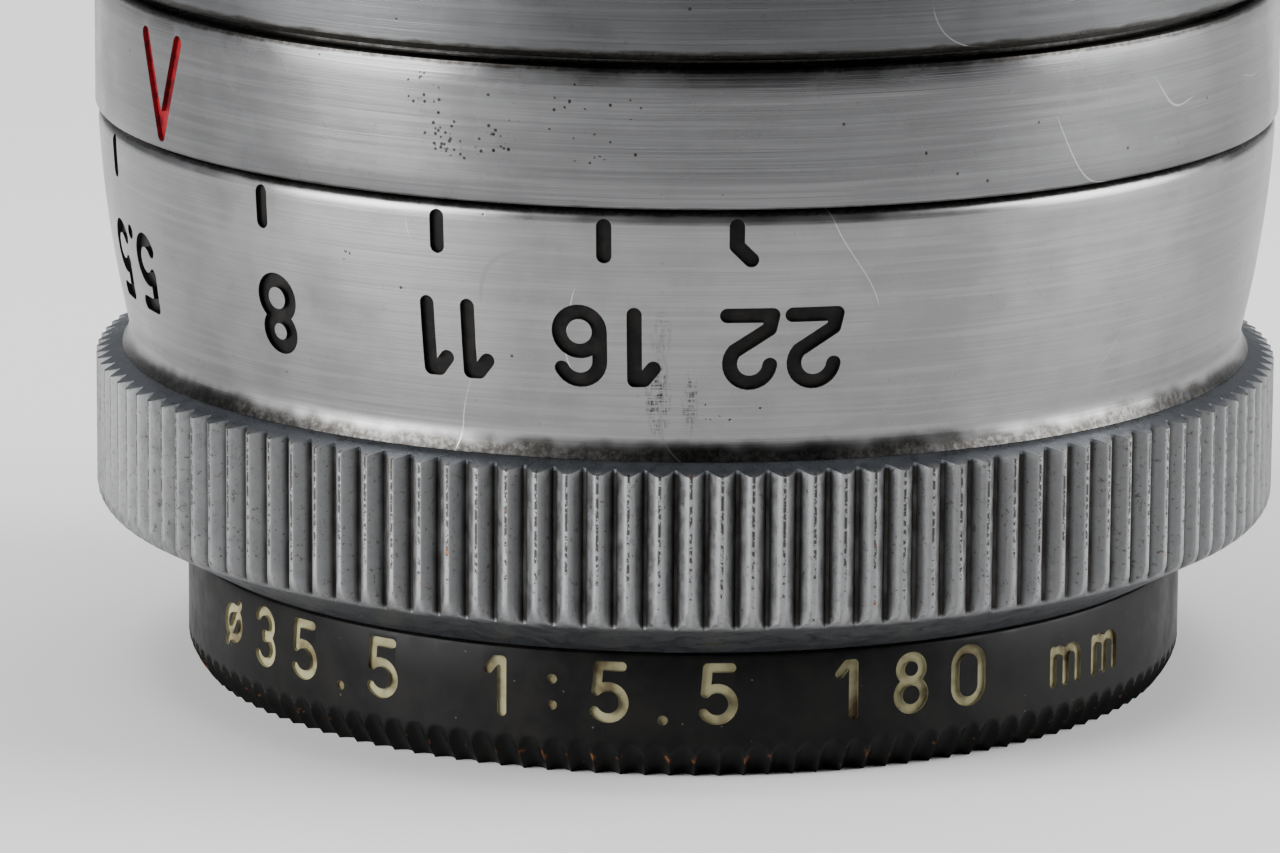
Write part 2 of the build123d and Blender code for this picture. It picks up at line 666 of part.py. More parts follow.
with BuildPart() as focus_ring:
    turned(
        (TUBE_R + RUNNING_GAP, FOCUS_FRONT),
        (26.2, FOCUS_FRONT),
        (28.2, FOCUS_FRONT + 2.0),
        (28.2, 74.2),
        (FOCUS_BAND_R, 74.6),
        (FOCUS_BAND_R, FOCUS_REAR - 0.3),
        (FOCUS_BAND_R - 0.3, FOCUS_REAR),
        (MOUNT_JOURNAL_R + RUNNING_GAP, FOCUS_REAR),
        (MOUNT_JOURNAL_R + RUNNING_GAP, BARREL_FRONT - 0.2),
        (HELICOID_R + RUNNING_GAP, BARREL_FRONT - 0.2),
        (HELICOID_R + RUNNING_GAP, FOCUS_FRONT + 1.5),
        (TUBE_R + RUNNING_GAP, FOCUS_FRONT + 1.5),
    )
    for distance, label in DISTANCES:
        extension = FOCAL_LENGTH**2 / (distance * 1000 - FOCAL_LENGTH)
        mark_angle = INDEX_ANGLE - extension / FOCUS_TRAVEL * FOCUS_TURN
        line_place = radial_plane(mark_angle, FOCUS_BAND_R, DISTANCE_LINE_FRONT)
        engrave([DISTANCE_LINE], line_place, 1.0, FINE_STROKE, FINE_DEPTH)
        spread = len(label) - 1
        for place_in_label, character in enumerate(label):
            angle = mark_angle + (spread / 2 - place_in_label) * LABEL_STEP
            label_place = radial_plane(angle, FOCUS_BAND_R, DISTANCE_FOOT, flipped=True)
            engrave(CHARACTERS[character], label_place, DISTANCE_SIZE, FINE_STROKE, FINE_DEPTH)
    line_place = radial_plane(INDEX_ANGLE, FOCUS_BAND_R, DISTANCE_LINE_FRONT)
    engrave([DISTANCE_LINE], line_place, 1.0, FINE_STROKE, FINE_DEPTH)
    infinity_place = radial_plane(INDEX_ANGLE, FOCUS_BAND_R, DISTANCE_FOOT, flipped=True)
    engrave(CHARACTERS["infinity"], infinity_place, DISTANCE_SIZE, FINE_STROKE, FINE_DEPTH)
    for angle in KEEPER_ANGLES:
        radial_pin(angle, KEEPER_HEIGHT, KEEPER_R + 0.3, MOUNT_JOURNAL_R, 30, mode=Mode.SUBTRACT)
    radial_pin(STOP_ANGLE, STOP_HEIGHT, STOP_R, MOUNT_JOURNAL_R, 30, mode=Mode.SUBTRACT)
    add(grip.part)
save(focus_ring, "focus_ring")

with BuildPart() as focus_keeper_screws:
    for angle in KEEPER_ANGLES:
        radial_pin(angle, KEEPER_HEIGHT, KEEPER_R, 26.1, 27.2)
        radial_pin(angle, KEEPER_HEIGHT, KEEPER_R + 0.3, 27.2, FOCUS_BAND_R - 0.1)
        with BuildSketch(radial_plane(angle, FOCUS_BAND_R - 0.5, KEEPER_HEIGHT)) as driver_slot:
            Rectangle(3, 0.35)
        extrude(driver_slot.sketch, amount=1, mode=Mode.SUBTRACT)
save(focus_keeper_screws, "focus_keeper_screws")

with BuildPart() as focus_stop_pin:
    radial_pin(STOP_ANGLE, STOP_HEIGHT, STOP_R, 26.1, FOCUS_BAND_R - 0.2)
save(focus_stop_pin, "focus_stop_pin")

# ---------------------------------------------------------------- mount barrel and camera mount
BARREL_R = 28.6
BARREL_REAR = 103.0
BARREL_REAR_R = 25.6
BARREL_SEAT = 98.0
GUIDE_OUTER_R = 23.0
GUIDE_INNER_R = 21.9
GUIDE_FRONT = 62.0
KEY_SLOT_FRONT = 63.5
KEY_SLOT_REAR = 83.8
GROOVE_R = 25.95
STOP_MARGIN = 2.0
DEPTH_TURNS = (5.3, 7.3, 10.6, 14.5)
MOUNT_BORE_R = 18.5
MOUNT_SCREW_CIRCLE_R = 22.8
MOUNT_SCREW_COUNT = 4
MOUNT_SCREW_R = 0.8
MOUNT_SCREW_HEAD_R = 1.5

with BuildPart() as mount_barrel:
    turned(
        (25.0, BARREL_FRONT),
        (MOUNT_JOURNAL_R, BARREL_FRONT),
        (MOUNT_JOURNAL_R, FOCUS_REAR + 0.1),
        (BARREL_R, FOCUS_REAR + 0.1),
        (BARREL_R, 97.5),
        (26.6, 100.0),
        (26.6, 102.4),
        (BARREL_REAR_R, BARREL_REAR),
        (21.2, BARREL_REAR),
        (21.2, BARREL_SEAT),
        (25.0, BARREL_SEAT),
    )
    arc_groove(GROOVE_R, BARREL_R, KEEPER_HEIGHT - 0.8, KEEPER_HEIGHT + 0.8, 0, 360)
    arc_groove(
        GROOVE_R,
        BARREL_R,
        STOP_HEIGHT - 0.8,
        STOP_HEIGHT + 0.8,
        STOP_ANGLE - STOP_MARGIN,
        FOCUS_TURN + 2 * STOP_MARGIN,
    )
    for turn in (0, *DEPTH_TURNS, *(-turn for turn in DEPTH_TURNS)):
        mark_place = radial_plane(INDEX_ANGLE + turn, BARREL_R, 92.9)
        engrave([(0, 0, 0, 2.6 if turn == 0 else 1.6)], mark_place, 1.0, FINE_STROKE, FINE_DEPTH)
    with BuildSketch(Plane.XY.offset(BARREL_REAR)) as screw_holes:
        with PolarLocations(MOUNT_SCREW_CIRCLE_R, MOUNT_SCREW_COUNT, start_angle=45):
            Circle(MOUNT_SCREW_R)
    extrude(screw_holes.sketch, amount=-3.6, mode=Mode.SUBTRACT)
save(mount_barrel, "mount_barrel")

with BuildPart() as guide_sleeve:
    turned(
        (GUIDE_INNER_R, GUIDE_FRONT),
        (GUIDE_OUTER_R, GUIDE_FRONT),
        (GUIDE_OUTER_R, 94.0),
        (25.0, 94.0),
        (25.0, BARREL_SEAT),
        (GUIDE_INNER_R, BARREL_SEAT),
    )
    with BuildSketch(Plane.YZ.offset(-30)) as key_slots:
        with Locations((0, (KEY_SLOT_FRONT + KEY_SLOT_REAR) / 2)):
            Rectangle(KEY_WIDTH + 0.1, KEY_SLOT_REAR - KEY_SLOT_FRONT)
    extrude(key_slots.sketch, amount=60, mode=Mode.SUBTRACT)
save(guide_sleeve, "guide_sleeve")

with BuildPart() as rear_baffle:
    turned((17.5, 100.0), (21.2, 100.0), (21.2, 101.2), (18.3, 101.2), (17.5, 100.4))
save(rear_baffle, "rear_baffle")

with BuildPart() as mount_thread_ring:
    turned(
        (MOUNT_BORE_R, BARREL_REAR),
        (24.9, BARREL_REAR),
        (24.9, FLANGE_FACE - 0.25),
        (24.65, FLANGE_FACE),
        (THREAD_R, FLANGE_FACE),
        (THREAD_R, FLANGE_FACE + THREAD_LENGTH - 0.3),
        (THREAD_R - 0.3, FLANGE_FACE + THREAD_LENGTH),
        (MOUNT_BORE_R, FLANGE_FACE + THREAD_LENGTH),
    )
    with BuildSketch(Plane.XY.offset(BARREL_REAR)) as screw_holes:
        with PolarLocations(MOUNT_SCREW_CIRCLE_R, MOUNT_SCREW_COUNT, start_angle=45):
            Circle(MOUNT_SCREW_R)
    extrude(screw_holes.sketch, amount=3, mode=Mode.SUBTRACT)
    with BuildSketch(Plane.XY.offset(FLANGE_FACE - 0.8)) as screw_seats:
        with PolarLocations(MOUNT_SCREW_CIRCLE_R, MOUNT_SCREW_COUNT, start_angle=45):
            Circle(MOUNT_SCREW_HEAD_R)
    extrude(screw_seats.sketch, amount=1, mode=Mode.SUBTRACT)
save(mount_thread_ring, "mount_thread_ring")

with BuildPart() as mount_screws:
    with BuildSketch(Plane.XY.offset(BARREL_REAR - 3.5)) as shanks:
        with PolarLocations(MOUNT_SCREW_CIRCLE_R, MOUNT_SCREW_COUNT, start_angle=45):
            Circle(MOUNT_SCREW_R)
    extrude(shanks.sketch, amount=4.5)
    with BuildSketch(Plane.XY.offset(FLANGE_FACE - 0.8)) as heads:
        with PolarLocations(MOUNT_SCREW_CIRCLE_R, MOUNT_SCREW_COUNT, start_angle=45):
            Circle(MOUNT_SCREW_HEAD_R)
    extrude(heads.sketch, amount=0.75)
    with BuildSketch(Plane.XY.offset(FLANGE_FACE - 0.35)) as driver_slots:
        with PolarLocations(MOUNT_SCREW_CIRCLE_R, MOUNT_SCREW_COUNT, start_angle=45):
            Rectangle(4, 0.4)
    extrude(driver_slots.sketch, amount=1, mode=Mode.SUBTRACT)
save(mount_screws, "mount_screws")
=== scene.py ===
"""Looks of the portrait lens: fine ring meshes, engraved and painted marks, worn metal, light and camera."""

from math import atan2, cos, degrees, pi, radians, sin, sqrt

import bmesh
import bpy
from mathutils import Matrix, Vector


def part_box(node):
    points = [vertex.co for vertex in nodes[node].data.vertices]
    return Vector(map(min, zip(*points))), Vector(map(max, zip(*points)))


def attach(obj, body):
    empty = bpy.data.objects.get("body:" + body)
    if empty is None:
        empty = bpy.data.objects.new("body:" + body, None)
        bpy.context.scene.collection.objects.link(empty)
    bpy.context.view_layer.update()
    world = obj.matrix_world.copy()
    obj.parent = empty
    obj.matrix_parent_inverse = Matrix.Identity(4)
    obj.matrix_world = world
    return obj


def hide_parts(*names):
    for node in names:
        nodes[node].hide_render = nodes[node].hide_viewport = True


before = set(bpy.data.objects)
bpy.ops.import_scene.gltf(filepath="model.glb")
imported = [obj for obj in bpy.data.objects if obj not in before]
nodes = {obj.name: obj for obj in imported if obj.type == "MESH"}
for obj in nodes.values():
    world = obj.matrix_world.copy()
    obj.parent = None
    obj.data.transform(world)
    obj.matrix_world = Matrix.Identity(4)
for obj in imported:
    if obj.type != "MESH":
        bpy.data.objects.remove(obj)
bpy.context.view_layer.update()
MM = 0.001


def cad_radius(node):
    """Outer radius of a round CAD node, in mm."""
    low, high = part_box(node)
    return (high.x - low.x) / 2 / MM


def cad_heights(node):
    """Lowest and highest point of a CAD node, in mm."""
    low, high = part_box(node)
    return low.z / MM, high.z / MM


# ---------------------------------------------------------------- shader helpers
class Shader:
    """A small wrapper that makes node materials shorter to write."""

    def __init__(self, name):
        self.material = bpy.data.materials.new(name)
        self.material.use_nodes = True
        self.tree = self.material.node_tree
        self.surface = self.tree.nodes["Principled BSDF"]
        self.place = self.node("ShaderNodeTexCoord").outputs["Object"]
        split = self.node("ShaderNodeSeparateXYZ")
        self.link(self.place, split.inputs[0])
        self.x, self.y, self.z = split.outputs
        flat = self.math("ADD", self.times(self.x, self.x), self.times(self.y, self.y))
        self.radius = self.math("SQRT", flat)

    def node(self, kind, **settings):
        made = self.tree.nodes.new(kind)
        for key, value in settings.items():
            setattr(made, key, value)
        return made

    def link(self, source, target):
        self.tree.links.new(source, target)

    def feed(self, socket, value):
        if isinstance(value, bpy.types.NodeSocket):
            self.link(value, socket)
        elif isinstance(value, tuple) and len(value) == 3 and socket.type == "RGBA":
            socket.default_value = (*value, 1)
        else:
            socket.default_value = value

    def math(self, operation, a, b=0.0):
        made = self.node("ShaderNodeMath", operation=operation)
        self.feed(made.inputs[0], a)
        self.feed(made.inputs[1], b)
        return made.outputs[0]

    def times(self, *factors):
        """The product of two or more values."""
        product = factors[0]
        for factor in factors[1:]:
            product = self.math("MULTIPLY", product, factor)
        return product

    def ramp(self, value, low, high, low_out=0.0, high_out=1.0):
        """Map a value from low..high to low_out..high_out, smoothly and clamped."""
        made = self.node("ShaderNodeMapRange", interpolation_type="SMOOTHSTEP")
        self.feed(made.inputs["Value"], value)
        for key, number in zip(("From Min", "From Max", "To Min", "To Max"), (low, high, low_out, high_out)):
            self.feed(made.inputs[key], number)
        return made.outputs["Result"]

    def band(self, value, low, high, soft):
        """1 inside low..high, falling to 0 over soft on each side."""
        rise = self.ramp(value, low - soft, low)
        fall = self.ramp(value, high, high + soft, 1.0, 0.0)
        return self.times(rise, fall)

    def noise(self, scale, detail=3.0, stretch=None, roughness=0.55):
        made = self.node("ShaderNodeTexNoise")
        self.feed(made.inputs["Scale"], scale)
        self.feed(made.inputs["Detail"], detail)
        self.feed(made.inputs["Roughness"], roughness)
        self.link(self.stretched(stretch) if stretch else self.place, made.inputs["Vector"])
        return made.outputs["Fac"]

    def stretched(self, stretch):
        """Coordinates that run slowly round a ring and fast along and across it."""
        around, along = stretch
        joined = self.node("ShaderNodeCombineXYZ")
        self.link(self.times(self.x, around), joined.inputs[0])
        self.link(self.times(self.y, around), joined.inputs[1])
        self.link(self.math("MULTIPLY", self.math("ADD", self.z, self.radius), along), joined.inputs[2])
        return joined.outputs[0]

    def specks(self, scale, size, amount):
        """Small round spots, a share of them left out."""
        made = self.node("ShaderNodeTexVoronoi")
        self.feed(made.inputs["Scale"], scale)
        self.link(self.place, made.inputs["Vector"])
        spot = self.ramp(made.outputs["Distance"], size * 0.6, size, 1.0, 0.0)
        pick = self.node("ShaderNodeSeparateColor")
        self.link(made.outputs["Color"], pick.inputs[0])
        kept = self.math("LESS_THAN", pick.outputs[0], amount)
        return self.times(spot, kept)

    def mix(self, factor, a, b):
        made = self.node("ShaderNodeMix", data_type="RGBA")
        self.feed(made.inputs[0], factor)
        self.feed(made.inputs[6], a)
        self.feed(made.inputs[7], b)
        return made.outputs[2]

    def patch(self, angle, height, half_width, half_height, soft=0.6):
        """An elliptic patch on a ring, at an angle from -Y and a height in mm."""
        turn = radians(angle)
        across = self.math("ADD", self.times(self.x, cos(turn)), self.times(self.y, sin(turn)))
        outward = self.math("SUBTRACT", self.times(self.x, sin(turn)), self.times(self.y, cos(turn)))
        u = self.math("DIVIDE", across, half_width * MM)
        v = self.math("DIVIDE", self.math("SUBTRACT", self.z, height * MM), half_height * MM)
        distance = self.math("ADD", self.times(u, u), self.times(v, v))
        front = self.math("GREATER_THAN", outward, 0.0)
        return self.math("MULTIPLY", self.ramp(distance, 1 - soft, 1 + soft, 1.0, 0.0), front)

    def bump(self, height, strength, distance=0.00002):
        made = self.node("ShaderNodeBump")
        self.feed(made.inputs["Strength"], strength)
        self.feed(made.inputs["Distance"], distance)
        self.link(height, made.inputs["Height"])
        self.link(made.outputs["Normal"], self.surface.inputs["Normal"])

    def finish(self, color, roughness, metallic=1.0):
        self.feed(self.surface.inputs["Base Color"], color)
        self.feed(self.surface.inputs["Roughness"], roughness)
        self.feed(self.surface.inputs["Metallic"], metallic)
        return self.material


# ---------------------------------------------------------------- metals and paints
GRIME_AND_SHADE = (0.018, 0.016, 0.013)
TARNISH = (0.30, 0.12, 0.03)


def aluminium(name, tone, rough, shade_and_grime_bands=(), patches=(), rubs=(), pits=0.25, streak=1.0):
    """Satin turned aluminium: fine turning lines, blotches, pits, grime, and painted shade in seams and
    creases.
    """
    shader = Shader(name)
    lines = shader.noise(1.0, 2.0, (60.0, 14000.0), 0.7)
    broad_lines = shader.noise(1.0, 2.0, (90.0, 3500.0), 0.6)
    blotches = shader.noise(260.0, 4.0)
    dark = tuple(channel * 0.80 for channel in tone)
    light = tuple(min(channel * 1.13, 1.0) for channel in tone)
    color = shader.mix(shader.ramp(blotches, 0.32, 0.68), dark, light)
    color = shader.mix(shader.ramp(lines, 0.35, 0.7, 0.0, 0.75 * streak), color, dark)
    color = shader.mix(shader.ramp(broad_lines, 0.45, 0.7, 0.0, 0.6 * streak), color, light)
    smut = shader.noise(1600.0, 5.0, roughness=0.75)
    color = shader.mix(shader.ramp(smut, 0.62, 0.78, 0.0, 0.35), color, GRIME_AND_SHADE)
    # Darker bands at given heights: painted shade in seams and creases, with grime in some of them.
    for low, high, soft, strength in shade_and_grime_bands:
        sway = soft * 0.4 * MM
        wavy = shader.math("ADD", shader.z, shader.ramp(shader.noise(900.0, 4.0), 0.2, 0.8, -sway, sway))
        edge = shader.band(wavy, low * MM, high * MM, soft * MM)
        ragged = shader.ramp(shader.noise(3600.0, 4.0, roughness=0.75), 0.35, 0.6, 0.72, 1.0)
        color = shader.mix(shader.times(edge, ragged, strength), color, GRIME_AND_SHADE)
    for angle, height, half_width, half_height, strength in patches:
        spread = shader.patch(angle, height, half_width, half_height)
        clumps = shader.ramp(shader.noise(1100.0, 3.0, roughness=0.7), 0.42, 0.62)
        corroded = shader.specks(5200.0, 0.44, shader.times(spread, clumps, strength))
        color = shader.mix(shader.times(corroded, 0.9), color, GRIME_AND_SHADE)
    for angle, height, half_width, half_height, strength in rubs:
        spread = shader.patch(angle, height, half_width, half_height)
        upright = shader.ramp(shader.noise(1.0, 3.0, (9000.0, 700.0), 0.7), 0.40, 0.60)
        level = shader.ramp(shader.noise(1.0, 3.0, (900.0, 9000.0), 0.7), 0.38, 0.58)
        color = shader.mix(shader.times(spread, shader.times(upright, level), strength), color, GRIME_AND_SHADE)
    for wander, share, tint in ((62.0, 0.60, dark), (84.0, 0.57, tuple(channel * 2.2 for channel in tone))):
        # A hairline scratch runs along the half level of a slow noise, and is broken by a faster one.
        level = shader.math("ABSOLUTE", shader.math("SUBTRACT", shader.noise(wander, 0.5), 0.5))
        hair = shader.math("MULTIPLY", shader.ramp(level, 0.0005, 0.0013, 1.0, 0.0),
                           shader.ramp(shader.noise(wander * 2.3, 1.0), share, share + 0.05))
        color = shader.mix(shader.times(hair, 0.75), color, tint)
    holes = shader.specks(900.0, 0.075, pits)
    color = shader.mix(shader.times(holes, 0.8), color, GRIME_AND_SHADE)
    rough_map = shader.ramp(blotches, 0.3, 0.7, rough - 0.05, rough + 0.08)
    relief = shader.math("ADD", lines, shader.times(broad_lines, 0.5))
    shader.bump(shader.math("SUBTRACT", relief, holes), 0.45, 0.000012)
    return shader.finish(color, rough_map, 1.0)


def knurled_aluminium(name, count, phase, wall, tone, faces=None):
    """Straight knurling: grooves darkened by painted shade and dirt, a pitted seam along each ridge, specks
    of orange tarnish, and painted shade on the end faces.
    """
    shader = Shader(name)
    turn = shader.math("ARCTAN2", shader.x, shader.times(shader.y, -1.0))
    teeth = shader.math("SUBTRACT", shader.times(turn, count / (2 * pi)), phase / 360 * count - 0.5)
    from_ridge = shader.math("ABSOLUTE", shader.math("SUBTRACT", shader.math("FRACT", teeth), 0.5))
    # 0 on the ridge and 1 in the bottom of the groove.
    across = shader.times(from_ridge, 2.0)
    grooved = shader.band(shader.z, (wall[0] + 0.1) * MM, (wall[1] - 0.05) * MM, 0.15 * MM)
    worn = shader.noise(1500.0, 5.0, roughness=0.75)
    color = shader.mix(shader.ramp(worn, 0.35, 0.65), tuple(channel * 0.78 for channel in tone), tone)
    # The groove bottoms are darkened unevenly: painted shade, with dirt packed in.
    groove_patchiness = shader.ramp(shader.noise(700.0, 4.0), 0.25, 0.6, 0.75, 1.0)
    groove_shade_and_dirt = shader.math("MULTIPLY", shader.ramp(across, 0.58, 0.92), grooved)
    color = shader.mix(shader.times(groove_shade_and_dirt, groove_patchiness), color, (0.016, 0.014, 0.012))
    smut = shader.ramp(shader.noise(4600.0, 4.0, roughness=0.7), 0.56, 0.70, 0.0, 0.8)
    color = shader.mix(shader.times(smut, grooved), color, (0.035, 0.033, 0.03))
    rough_map = shader.ramp(worn, 0.3, 0.7, 0.34, 0.6)
    if faces:
        # Painted shade with a bluish painted reflection: the downward bevel below the first height and the
        # top face above the second are given a dark bluish grey.
        below = shader.ramp(shader.z, (faces[0] - 0.25) * MM, faces[0] * MM, 1.0, 0.0)
        color = shader.mix(below, color, (0.060, 0.064, 0.070))
        above = shader.ramp(shader.z, (faces[1] - 0.12) * MM, (faces[1] + 0.05) * MM)
        rough_map = shader.math("SUBTRACT", rough_map, shader.times(above, 0.14))
        color = shader.mix(above, color, (0.088, 0.096, 0.108))
    ridge = shader.math("MULTIPLY", shader.ramp(across, 0.03, 0.16, 1.0, 0.0), grooved)
    rubbed = shader.math("MULTIPLY", shader.ramp(across, 0.05, 0.30, 1.0, 0.0), grooved)
    color = shader.mix(shader.times(rubbed, 0.35), color, tuple(channel * 1.9 for channel in tone))
    crowd = shader.ramp(shader.z, wall[0] * MM, (wall[0] * 0.3 + wall[1] * 0.7) * MM, 0.62, 0.46)
    gaps = shader.math("GREATER_THAN", shader.noise(5200.0, 3.0, roughness=0.7), crowd)
    color = shader.mix(shader.times(ridge, gaps, 0.9), color, GRIME_AND_SHADE)
    rust = shader.math("MULTIPLY", shader.ramp(shader.noise(2600.0, 3.0), 0.68, 0.73), rubbed)
    color = shader.mix(shader.times(rust, 0.6), color, TARNISH)
    shader.bump(worn, 0.5, 0.00005)
    return shader.finish(color, rough_map, 0.85)


def black_paint(name, worn_edge=None):
    """Old black paint with dust; worn to brass and orange primer below worn_edge (height in mm)."""
    shader = Shader(name)
    mottle = shader.noise(600.0, 5.0, roughness=0.7)
    color = shader.mix(shader.ramp(mottle, 0.35, 0.7), (0.002, 0.002, 0.002), (0.006, 0.0055, 0.005))
    dust = shader.specks(2600.0, 0.13, 0.10)
    color = shader.mix(shader.times(dust, 0.25), color, (0.20, 0.19, 0.16))
    if worn_edge:
        outward = shader.ramp(shader.radius, 19.92 * MM, 20.05 * MM)
        edge = shader.band(shader.z, 0.40 * MM, worn_edge * MM, 0.12 * MM)
        chips = shader.ramp(shader.noise(2200.0, 3.0), 0.55, 0.64, 0.0, 0.8)
        worn = shader.times(outward, edge, chips)
        color = shader.mix(worn, color, (0.11, 0.045, 0.018))
    shader.bump(mottle, 0.25, 0.00003)
    shader.surface.inputs["Specular IOR Level"].default_value = 0.10
    return shader.finish(color, shader.ramp(mottle, 0.3, 0.7, 0.34, 0.50), 0.0)


def paint(name, tone, faded, scale=1400.0):
    """Paint rubbed into an engraved mark, uneven with age."""
    shader = Shader(name)
    uneven = shader.noise(scale, 4.0, roughness=0.7)
    color = shader.mix(shader.ramp(uneven, 0.40, 0.64), tone, faded)
    shader.bump(uneven, 0.4, 0.00003)
    shader.surface.inputs["Specular IOR Level"].default_value = 0.12
    return shader.finish(color, 0.5, 0.0)


def turned_metal(name, tone, rough, metallic=1.0):
    """Plain turned metal for inner pieces."""
    shader = Shader(name)
    lines = shader.noise(1.0, 2.0, (60.0, 9000.0), 0.7)
    cloud = shader.noise(300.0, 3.0)
    dark = tuple(channel * 0.88 for channel in tone)
    color = shader.mix(shader.ramp(cloud, 0.3, 0.7), dark, tone)
    shader.bump(lines, 0.2)
    return shader.finish(color, shader.ramp(cloud, 0.3, 0.7, rough, rough + 0.05), metallic)


def optical_glass(name, tint):
    """Clear glass with a thin coating colour."""
    shader = Shader(name)
    film = shader.noise(120.0, 3.0)
    shader.surface.inputs["Transmission Weight"].default_value = 1.0
    shader.surface.inputs["IOR"].default_value = 1.52
    shader.surface.inputs["Coat Weight"].default_value = 0.4
    shader.surface.inputs["Coat Tint"].default_value = (0.6, 0.55, 1.0, 1)
    color = shader.mix(shader.ramp(film, 0.3, 0.7), tint, tuple(channel * 0.96 for channel in tint))
    return shader.finish(color, 0.02, 0.0)


# ---------------------------------------------------------------- ring meshes
def arc(centre, radius, start, end, steps=6):
    """Points on an arc of a profile, angles in degrees."""
    points = []
    for step in range(steps + 1):
        angle = radians(start + (end - start) * step / steps)
        points.append((centre[0] + radius * cos(angle), centre[1] + radius * sin(angle)))
    return points


def three_point_arc(a, b, c, steps=16):
    """Points on the arc from a through b to c."""
    ax, ay, bx, by, cx, cy = *a, *b, *c
    turn = 2 * (ax * (by - cy) + bx * (cy - ay) + cx * (ay - by))
    ux = ((ax**2 + ay**2) * (by - cy) + (bx**2 + by**2) * (cy - ay) + (cx**2 + cy**2) * (ay - by)) / turn
    uy = ((ax**2 + ay**2) * (cx - bx) + (bx**2 + by**2) * (ax - cx) + (cx**2 + cy**2) * (bx - ax)) / turn
    radius = sqrt((ax - ux) ** 2 + (ay - uy) ** 2)
    start = degrees(atan2(ay - uy, ax - ux))
    end = degrees(atan2(cy - uy, cx - ux))
    if end - start > 180:
        end -= 360
    if start - end > 180:
        end += 360
    return arc((ux, uy), radius, start, end, steps)


def mesh_object(name, vertices, faces):
    mesh = bpy.data.meshes.new(name)
    mesh.from_pydata(vertices, [], faces)
    mesh.validate()
    piece = bpy.data.objects.new(name, mesh)
    bpy.context.scene.collection.objects.link(piece)
    return piece


def lathe(name, profile, segments=720, shape=None):
    """A closed (radius, height) profile in mm turned round Z. shape(angle, r, z) may move a point."""
    vertices = []
    count = len(profile)
    for segment in range(segments):
        angle = 360 * segment / segments
        for radius, height in profile:
            if shape:
                radius, height = shape(angle, radius, height)
            turn = radians(angle)
            vertices.append((radius * sin(turn) * MM, -radius * cos(turn) * MM, height * MM))
    faces = []
    for segment in range(segments):
        here = segment * count
        there = (segment + 1) % segments * count
        for row in range(count):
            above = (row + 1) % count
            faces.append((here + row, there + row, there + above, here + above))
    piece = mesh_object(name, vertices, faces)
    tidy_normals(piece)
    return piece


def tidy_normals(piece, angle=28):
    """Point the normals outwards and shade smooth between sharp edges."""
    work = bmesh.new()
    work.from_mesh(piece.data)
    bmesh.ops.recalc_face_normals(work, faces=work.faces)
    for face in work.faces:
        face.smooth = True
    for edge in work.edges:
        if len(edge.link_faces) == 2 and edge.calc_face_angle(0) > radians(angle):
            edge.smooth = False
    work.to_mesh(piece.data)
    work.free()


def dress(piece, body, slot, node, *materials):
    """Give a piece its materials and body, and let it stand for a CAD node. The slot argument is not used."""
    piece.data.materials.clear()
    for material in materials:
        piece.data.materials.append(material)
    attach(piece, body)
    if node:
        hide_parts(node)


# ---------------------------------------------------------------- engraved characters
# A stroke is a line (x0, y0, x1, y1) or an arc (x, y, radius, start, sweep) for a unit-high character.
CHARACTERS = {
    "0": [(0, 0.7, 0.3, 0, 180), (0, 0.3, 0.3, 180, 180), (-0.3, 0.3, -0.3, 0.7), (0.3, 0.3, 0.3, 0.7)],
    "1": [(0.08, 0, 0.08, 0.97), (0.08, 0.97, -0.05, 0.965), (-0.05, 0.965, -0.19, 0.79)],
    "2": [(0, 0.71, 0.29, -40, 215), (0.222, 0.524, -0.27, 0.2), (-0.27, 0.2, -0.31, 0), (-0.31, 0, 0.33, 0)],
    "3": [(0, 0.745, 0.255, -90, 240), (0, 0.275, 0.275, -150, 240)],
    "4": [(0.14, 0, 0.14, 1), (0.14, 1, -0.3, 0.3), (-0.3, 0.3, 0.32, 0.3)],
    "5": [(0.25, 1, -0.18, 1), (-0.18, 1, -0.22, 0.53), (-0.01, 0.31, 0.3, -145, 280)],
    "6": [(0, 0.27, 0.29, 0, 360), (-0.29, 0.27, -0.29, 0.7), (0, 0.7, 0.29, 180, -155)],
    "7": [(-0.3, 1, 0.3, 1), (0.3, 1, -0.1, 0)],
    "8": [(0, 0.27, 0.27, 0, 360), (0, 0.77, 0.23, 0, 360)],
    ".": [(-0.005, 0, 0.005, 0)],
    ":": [(-0.005, 0.2, 0.005, 0.2), (-0.005, 0.7, 0.005, 0.7)],
    "m": [
        (-0.36, 0, -0.36, 0.62),
        (-0.18, 0.44, 0.18, 0, 180),
        (0, 0.44, 0, 0),
        (0.18, 0.44, 0.18, 0, 180),
        (0.36, 0.44, 0.36, 0),
    ],
    "diameter": [(0, 0.5, 0.3, 0, 360), (-0.28, 0.1, 0.28, 0.9)],
    "infinity": [(-0.25, 0.5, 0.25, 0, 360), (0.25, 0.5, 0.25, 0, 360)],
}


def stroke_line(stroke, size):
    """The middle line of a stroke as points, scaled."""
    if len(stroke) == 4:
        x0, y0, x1, y1 = (number * size for number in stroke)
        steps = max(2, int(sqrt((x1 - x0) ** 2 + (y1 - y0) ** 2) / 0.12))
        return [(x0 + (x1 - x0) * step / steps, y0 + (y1 - y0) * step / steps) for step in range(steps + 1)]
    x0, y0, bend = (number * size for number in stroke[:3])
    steps = max(6, int(abs(stroke[4]) / 12))
    points = []
    for step in range(steps + 1):
        angle = radians(stroke[3] + stroke[4] * step / steps)
        points.append((x0 + bend * cos(angle), y0 + bend * sin(angle)))
    return points


